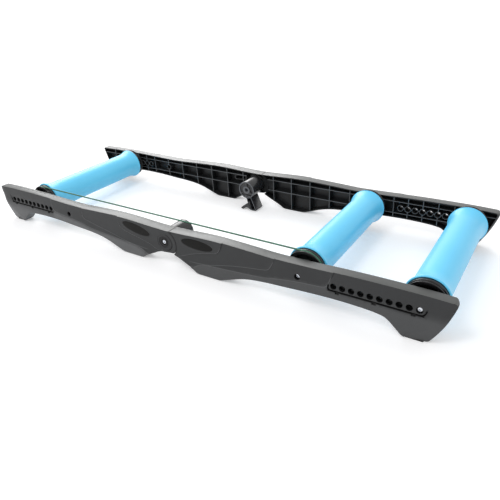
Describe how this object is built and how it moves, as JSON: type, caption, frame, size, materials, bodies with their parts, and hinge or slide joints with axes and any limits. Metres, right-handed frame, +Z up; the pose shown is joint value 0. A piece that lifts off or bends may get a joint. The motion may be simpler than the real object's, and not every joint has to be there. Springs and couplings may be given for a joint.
{
  "type": "bike rollers",
  "caption": "Folding bike rollers: flared blue drums between two low moulded rails that hinge in the middle, with a round belt from the front drum to the middle drum.",
  "frame": {"origin": "on the floor, midway between the tips of the rails and midway between the two rails", "axes": "+X from the front drum to the two rear drums, +Y from the near rail, which has the belt beside it, to the far rail, +Z up"},
  "size_m": [1.42, 0.4808, 0.121],
  "materials": {
    "rail": "dark grey moulded plastic, satin",
    "badge": "near-black, bare",
    "drum": "sky blue, smooth",
    "black_plastic": "black moulded plastic",
    "rubber": "black, matt",
    "belt": "dark green round cord",
    "steel": "zinc plated"
  },
  "bodies": {
    "rear_frame": {"near_rear_rail": "rail", "near_rear_badge": "badge", "near_rear_middle_pad": "rubber", "near_rear_end_pad": "rubber", "far_rear_rail": "rail", "far_rear_badge": "badge", "far_rear_middle_pad": "rubber", "far_rear_end_pad": "rubber", "near_hinge_bolt": "steel", "near_hinge_nut": "steel", "far_hinge_bolt": "steel", "far_hinge_nut": "steel", "middle_axle": "steel", "middle_axle_near_spacer": "black_plastic", "middle_axle_near_bolt": "steel", "middle_axle_far_spacer": "black_plastic", "middle_axle_far_bolt": "steel", "rear_axle": "steel", "rear_axle_near_spacer": "black_plastic", "rear_axle_near_bolt": "steel", "rear_axle_far_spacer": "black_plastic", "rear_axle_far_bolt": "steel", "drive_belt": "belt"},
    "front_frame": {"near_front_rail": "rail", "near_front_badge": "badge", "near_front_middle_pad": "rubber", "near_front_end_pad": "rubber", "far_front_rail": "rail", "far_front_badge": "badge", "far_front_middle_pad": "rubber", "far_front_end_pad": "rubber", "front_axle": "steel", "front_axle_near_spacer": "black_plastic", "front_axle_near_bolt": "steel", "front_axle_far_spacer": "black_plastic", "front_axle_far_bolt": "steel"},
    "front_drum_body": {"front_drum": "drum", "front_drum_near_cap": "black_plastic", "front_drum_near_bearing": "steel", "front_drum_far_cap": "black_plastic", "front_drum_far_bearing": "steel"},
    "middle_drum_body": {"middle_drum": "drum", "middle_drum_near_cap": "black_plastic", "middle_drum_near_bearing": "steel", "middle_drum_far_cap": "black_plastic", "middle_drum_far_bearing": "steel"},
    "rear_drum_body": {"rear_drum": "drum", "rear_drum_near_cap": "black_plastic", "rear_drum_near_bearing": "steel", "rear_drum_far_cap": "black_plastic", "rear_drum_far_bearing": "steel"},
    "near_lever_body": {"near_lock_lever": "black_plastic"},
    "far_lever_body": {"far_lock_lever": "black_plastic"}
  },
  "joints": [
    {"name": "frame_fold", "type": "hinge", "parent": "rear_frame", "child": "front_frame", "pos_m": [-0.007, 0, 0.068], "axis": [0, -1, 0], "range_deg": [0, 72], "deforming": ["drive_belt"]},
    {"name": "front_drum_spin", "type": "hinge", "parent": "front_frame", "child": "front_drum_body", "pos_m": [-0.542, 0, 0.0725], "axis": [0, 1, 0], "continuous": true},
    {"name": "middle_drum_spin", "type": "hinge", "parent": "rear_frame", "child": "middle_drum_body", "pos_m": [0.377, 0, 0.0725], "axis": [0, 1, 0], "continuous": true},
    {"name": "rear_drum_spin", "type": "hinge", "parent": "rear_frame", "child": "rear_drum_body", "pos_m": [0.642, 0, 0.0725], "axis": [0, 1, 0], "continuous": true},
    {"name": "near_lever_turn", "type": "hinge", "parent": "rear_frame", "child": "near_lever_body", "pos_m": [-0.007, 0, 0.068], "axis": [0, -1, 0], "range_deg": [0, 90]},
    {"name": "far_lever_turn", "type": "hinge", "parent": "rear_frame", "child": "far_lever_body", "pos_m": [-0.007, 0, 0.068], "axis": [0, -1, 0], "range_deg": [0, 90]}
  ],
  "couplings": [
    {"joint": "front_drum_spin", "follows": "middle_drum_spin", "ratio": 1}
  ]
}
